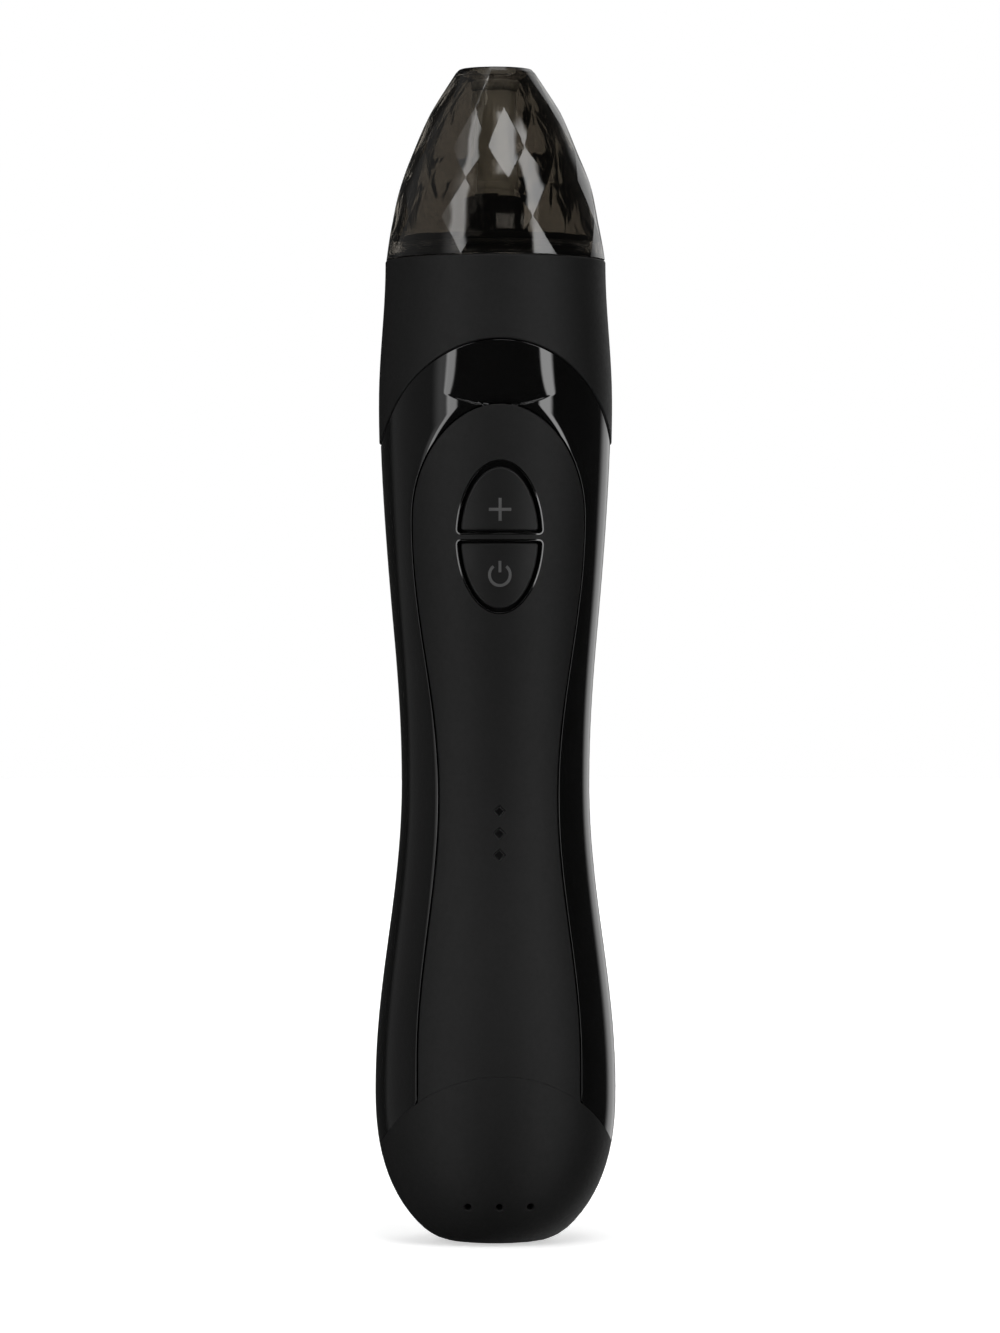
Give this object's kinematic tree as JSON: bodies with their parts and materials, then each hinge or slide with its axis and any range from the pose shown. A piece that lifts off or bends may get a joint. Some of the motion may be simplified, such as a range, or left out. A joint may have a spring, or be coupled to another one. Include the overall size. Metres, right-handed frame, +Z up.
{
  "type": "blackhead vacuum extractor",
  "caption": "Upright cordless pore-vacuum wand with a faceted translucent cap, slotted suction tip, arched collar, glossy side frame, oval button pair and a rounded flat-footed base.",
  "frame": {"origin": "centre of the bounding box's lowest face, under the flat foot", "axes": "+Z up along the wand, the buttons face -Y, +X to the right of someone who looks at the buttons"},
  "size_m": [0.0394, 0.0376, 0.192],
  "materials": {
    "soft_touch": "soft-touch charcoal black",
    "gloss_black": "high gloss black",
    "button_black": "fine matte black",
    "smoke": "smoky translucent, polished facets",
    "tip_grey": "satin pale grey",
    "abrasive": "fine grit",
    "black_plastic": "satin black",
    "rubber": "matt",
    "silicone": "milky",
    "felt": "white felt",
    "steel": "plated",
    "grey_plastic": "moulded grey",
    "board_green": "solder mask",
    "cell_blue": "shrink sleeve",
    "foam": "closed-cell foam",
    "lens_black": "smoked",
    "red_lead": "insulation",
    "black_lead": "insulation"
  },
  "bodies": {
    "handset": {"tip_post": "black_plastic", "filter_disc": "felt", "head_deck": "black_plastic", "cap_seal": "rubber", "collar": "soft_touch", "side_frame": "gloss_black", "front_cover": "soft_touch", "rear_cover": "soft_touch", "base_cover": "soft_touch", "indicator_lens_1": "lens_black", "indicator_lens_2": "lens_black", "indicator_lens_3": "lens_black", "pump_motor": "steel", "pump_case": "grey_plastic", "pump_diaphragm": "rubber", "pump_head": "grey_plastic", "suction_tube": "silicone", "inner_chassis": "grey_plastic", "circuit_board": "board_green", "plus_switch": "black_plastic", "power_switch": "black_plastic", "battery_cell": "cell_blue", "battery_pad": "foam", "charge_board": "board_green", "charge_socket": "steel", "battery_lead_negative": "black_lead", "motor_lead_negative": "black_lead", "battery_lead_positive": "red_lead", "motor_lead_positive": "red_lead", "base_screw_1": "steel", "base_screw_2": "steel", "rear_screw": "steel", "board_screw_1": "steel", "board_screw_2": "steel"},
    "treatment_cap": {"treatment_cap": "smoke"},
    "suction_tip": {"suction_tip": "tip_grey", "tip_disc": "abrasive"},
    "plus_button": {"plus_button": "button_black"},
    "power_button": {"power_button": "button_black"},
    "pump_rotor": {"pump_rotor": "steel"}
  },
  "joints": [
    {"name": "cap_pull", "type": "slide", "parent": "handset", "child": "treatment_cap", "axis": [0, 0, 1], "range_m": [0, 0.04]},
    {"name": "tip_pull", "type": "slide", "parent": "handset", "child": "suction_tip", "axis": [0, 0, 1], "range_m": [0, 0.034]},
    {"name": "plus_press", "type": "slide", "parent": "handset", "child": "plus_button", "axis": [0, 1, 0], "range_m": [0, 0.0005], "stiffness_N_per_m": 2000},
    {"name": "power_press", "type": "slide", "parent": "handset", "child": "power_button", "axis": [0, 1, 0], "range_m": [0, 0.0005], "stiffness_N_per_m": 2000},
    {"name": "rotor_spin", "type": "hinge", "parent": "handset", "child": "pump_rotor", "pos_m": [0, 0.003, 0.113], "axis": [0, 0, 1], "continuous": true}
  ]
}
